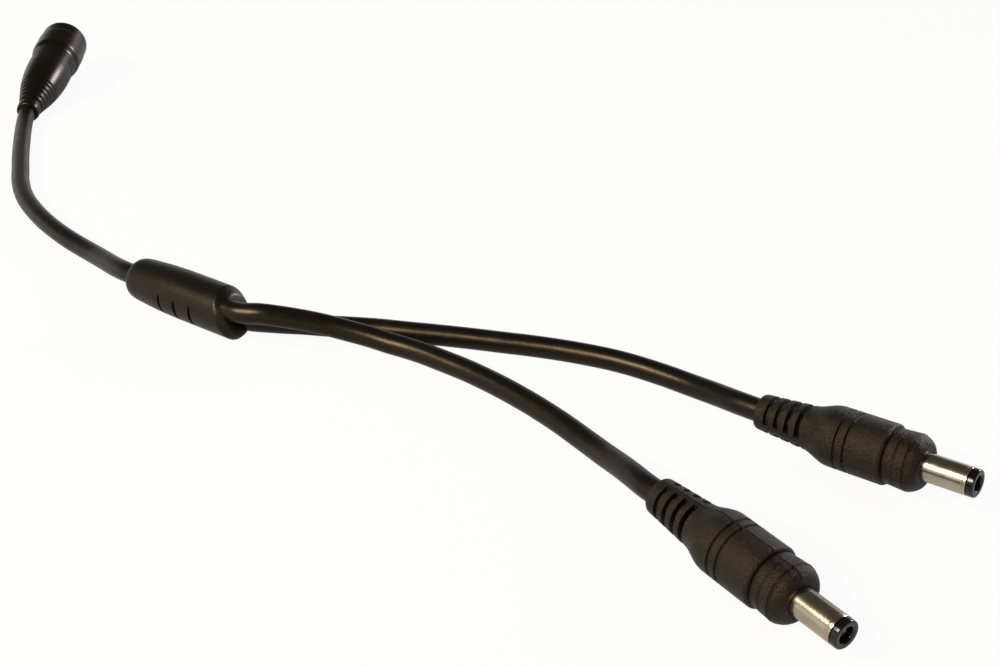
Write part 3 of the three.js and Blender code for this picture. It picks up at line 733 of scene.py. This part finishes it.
INPUT = [
    (-21, 0.3, 3.1), (-24.8, 1.1, 2.6), (-28.6, 2.2, 2.0), (-33.6, 3.9, 1.2), (-39.6, 5.7, 0.45),
    (-46, 7.1, 0.04), (-52, 8.2, 0), (-58.3, 9.6, 0), (-64.5, 11.3, 0), (-70.3, 13.2, 0),
    (-76.3, 15.5, 0), (-82.7, 18.4, 0), (-88.7, 21.8, 0), (-94.9, 26, 0), (-100.8, 30.6, 0),
    (-107, 35.4, 0), (-113.2, 40.4, 0), (-121.5, 47.3, 0), (-127.6, 52.5, 0.02), (-131.8, 56.3, 0.2),
]


def along_axis(matrix, x, z=0.0):
    """A point on or beside a connector's axis, in millimetres."""
    return matrix @ Vector((x, 0, z)) / MM


def bore(matrix, xs, z=0.0):
    return [along_axis(matrix, x, z) for x in xs]


def cable(name, start, free, end, replaced):
    """A jacketed cable through its bores and its free points."""
    points = start + [Vector((x, y, REST + lift)) for x, y, lift in free] + end
    line = catmull_rom(points)
    curve = bpy.data.curves.new(name, "CURVE")
    curve.dimensions = "3D"
    curve.bevel_depth = CABLE_R * MM
    curve.bevel_resolution = 10
    curve.use_fill_caps = True
    spline = curve.splines.new("POLY")
    spline.points.add(len(line) - 1)
    for point, place in zip(spline.points, line):
        point.co = (*(place * MM), 1)
    spline.use_smooth = True
    curve.materials.append(jacket_pvc)
    obj = bpy.data.objects.new(name, curve)
    scene.collection.objects.link(obj)
    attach(obj, "root")
    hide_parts(replaced)
    length = sum((b - a).length for a, b in zip(line, line[1:]))
    return obj, length * MM


LEG_BORE = (SLEEVE_FACE - 8, SLEEVE_FACE - 4, SLEEVE_FACE)
INPUT_BORE = (8 - SLEEVE_HALF, 4 - SLEEVE_HALF, -SLEEVE_HALF)
PLUG_BORE = (0, 4.5, 9)
SOCKET_BORE = (0, 5.5, 11)

front_cable, front_length = cable(
    "front_leg_jacket", bore(SLEEVE, LEG_BORE, LEG_HALF_SPACING), FRONT_LEG,
    bore(FRONT_PLUG, PLUG_BORE), "front_leg_cable")
rear_cable, rear_length = cable(
    "rear_leg_jacket", bore(SLEEVE, LEG_BORE, -LEG_HALF_SPACING), REAR_LEG,
    bore(REAR_PLUG, PLUG_BORE), "rear_leg_cable")
input_cable, input_length = cable(
    "input_jacket", bore(SLEEVE, INPUT_BORE), INPUT, bore(SOCKET, SOCKET_BORE), "input_cable")


# The pieces inside, which the model keeps as they are
INSIDE = {
    "positive_splice": (splice_metal, "splice_metal"),
    "negative_splice": (splice_metal, "splice_metal"),
    "socket_housing": (housing_plastic, "black_insulator"),
    "socket_spring_contact": (contact_metal, "contact_metal"),
}
for place in ("input", "front", "rear", "front_plug", "rear_plug", "socket"):
    INSIDE[f"{place}_positive_core"] = (red_wire, "red_insulation")
    INSIDE[f"{place}_negative_core"] = (black_wire, "black_insulation")
for name, (material, slot) in INSIDE.items():
    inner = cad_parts[name]
    inner.data.materials.clear()
    inner.data.materials.append(material)


# Floor: a grey matt sheet that glows white to the camera, and faintly to mirroring surfaces
FLOOR_HALF = 3
FLOOR_DROP = 0.02 * MM
FLOOR_GREY = 0.45
FLOOR_GLOW = 1.04
CAMERA_SHARE = 0.9
MIRROR_SHARE = 0.2


def make_floor():
    corners = [(x * FLOOR_HALF, y * FLOOR_HALF, 0) for x, y in ((-1, -1), (1, -1), (1, 1), (-1, 1))]
    mesh = bpy.data.meshes.new("floor")
    mesh.from_pydata(corners, [], [(0, 1, 2, 3)])
    floor = bpy.data.objects.new("floor", mesh)
    floor.location.z = -FLOOR_DROP
    scene.collection.objects.link(floor)
    material, tree = blank("white_floor")
    path = node(tree, "ShaderNodeLightPath").outputs
    mirrors = node(
        tree, "ShaderNodeMath", {0: path["Is Glossy Ray"], 1: path["Is Transmission Ray"]},
        operation="ADD")
    mirrored = node(
        tree, "ShaderNodeMath", {0: mirrors.outputs[0]}, {1: MIRROR_SHARE}, operation="MULTIPLY")
    direct = node(
        tree, "ShaderNodeMath", {0: path["Is Camera Ray"]}, {1: CAMERA_SHARE}, operation="MULTIPLY")
    seen = node(
        tree, "ShaderNodeMath", {0: direct.outputs[0], 1: mirrored.outputs[0]}, operation="ADD")
    matt = node(tree, "ShaderNodeBsdfDiffuse", values={"Color": (FLOOR_GREY, FLOOR_GREY, FLOOR_GREY, 1)})
    glow = node(tree, "ShaderNodeEmission", values={"Strength": FLOOR_GLOW})
    both = node(
        tree, "ShaderNodeMixShader", {0: seen.outputs[0], 1: matt.outputs[0], 2: glow.outputs[0]})
    finish_material(tree, both)
    mesh.materials.append(material)
    return floor


make_floor()


# World: white to the camera, a grey room light on the object, and to mirroring surfaces a room
# with white walls at the horizon and a dark warm ceiling. Its colours are linear.
WHITE = (1, 1, 1, 1)
ROOM_LIGHT = (0.3, 0.3, 0.3, 1)
CEILING = (0.075, 0.065, 0.05, 1)
CEILING_HEIGHT = 0.45


def make_world():
    world = bpy.data.worlds.new("studio")
    scene.world = world
    world.use_nodes = True
    tree = world.node_tree
    tree.nodes.clear()
    path = node(tree, "ShaderNodeLightPath").outputs
    seen = node(
        tree, "ShaderNodeMath", {0: path["Is Camera Ray"], 1: path["Is Glossy Ray"]}, operation="ADD")
    seen = node(
        tree, "ShaderNodeMath", {0: seen.outputs[0], 1: path["Is Transmission Ray"]},
        operation="ADD", use_clamp=True)
    heading = node(
        tree, "ShaderNodeSeparateXYZ",
        {"Vector": node(tree, "ShaderNodeTexCoord").outputs["Generated"]})
    height = node(
        tree, "ShaderNodeMapRange", {"Value": heading.outputs["Z"]},
        {"From Min": 0.0, "From Max": CEILING_HEIGHT}, interpolation_type="SMOOTHSTEP")
    overhead = node(
        tree, "ShaderNodeMath", {0: height.outputs[0], 1: path["Is Glossy Ray"]},
        operation="MULTIPLY")
    room = node(
        tree, "ShaderNodeMix", {"Factor": overhead.outputs[0]},
        {MIX_A: WHITE, MIX_B: CEILING}, data_type="RGBA")
    tone = node(
        tree, "ShaderNodeMix", {"Factor": seen.outputs[0], MIX_B: room.outputs[2]},
        {MIX_A: ROOM_LIGHT}, data_type="RGBA")
    sky = node(tree, "ShaderNodeBackground", {"Color": tone.outputs[2]}, {"Strength": 1.0})
    node(tree, "ShaderNodeOutputWorld", {"Surface": sky.outputs[0]})


make_world()


# Lamps, in metres
def lamp(name, place, aim, width, height, watts, colour):
    data = bpy.data.lights.new(name, "AREA")
    data.shape = "RECTANGLE"
    data.size = width
    data.size_y = height
    data.energy = watts
    data.color = srgb(colour)[:3]
    obj = bpy.data.objects.new(name, data)
    obj.location = place
    obj.rotation_euler = (Vector(aim) - Vector(place)).to_track_quat("-Z", "Y").to_euler()
    obj.visible_camera = False
    scene.collection.objects.link(obj)


lamp("key", (-0.19, -0.72, 0.63), (0.03, 0, 0), width=0.62, height=0.3, watts=16, colour="fff0dc")
lamp("rim", (0.6, 2.9, 1.06), (0, 0, 0), width=0.7, height=0.7, watts=60, colour="f0eaff")
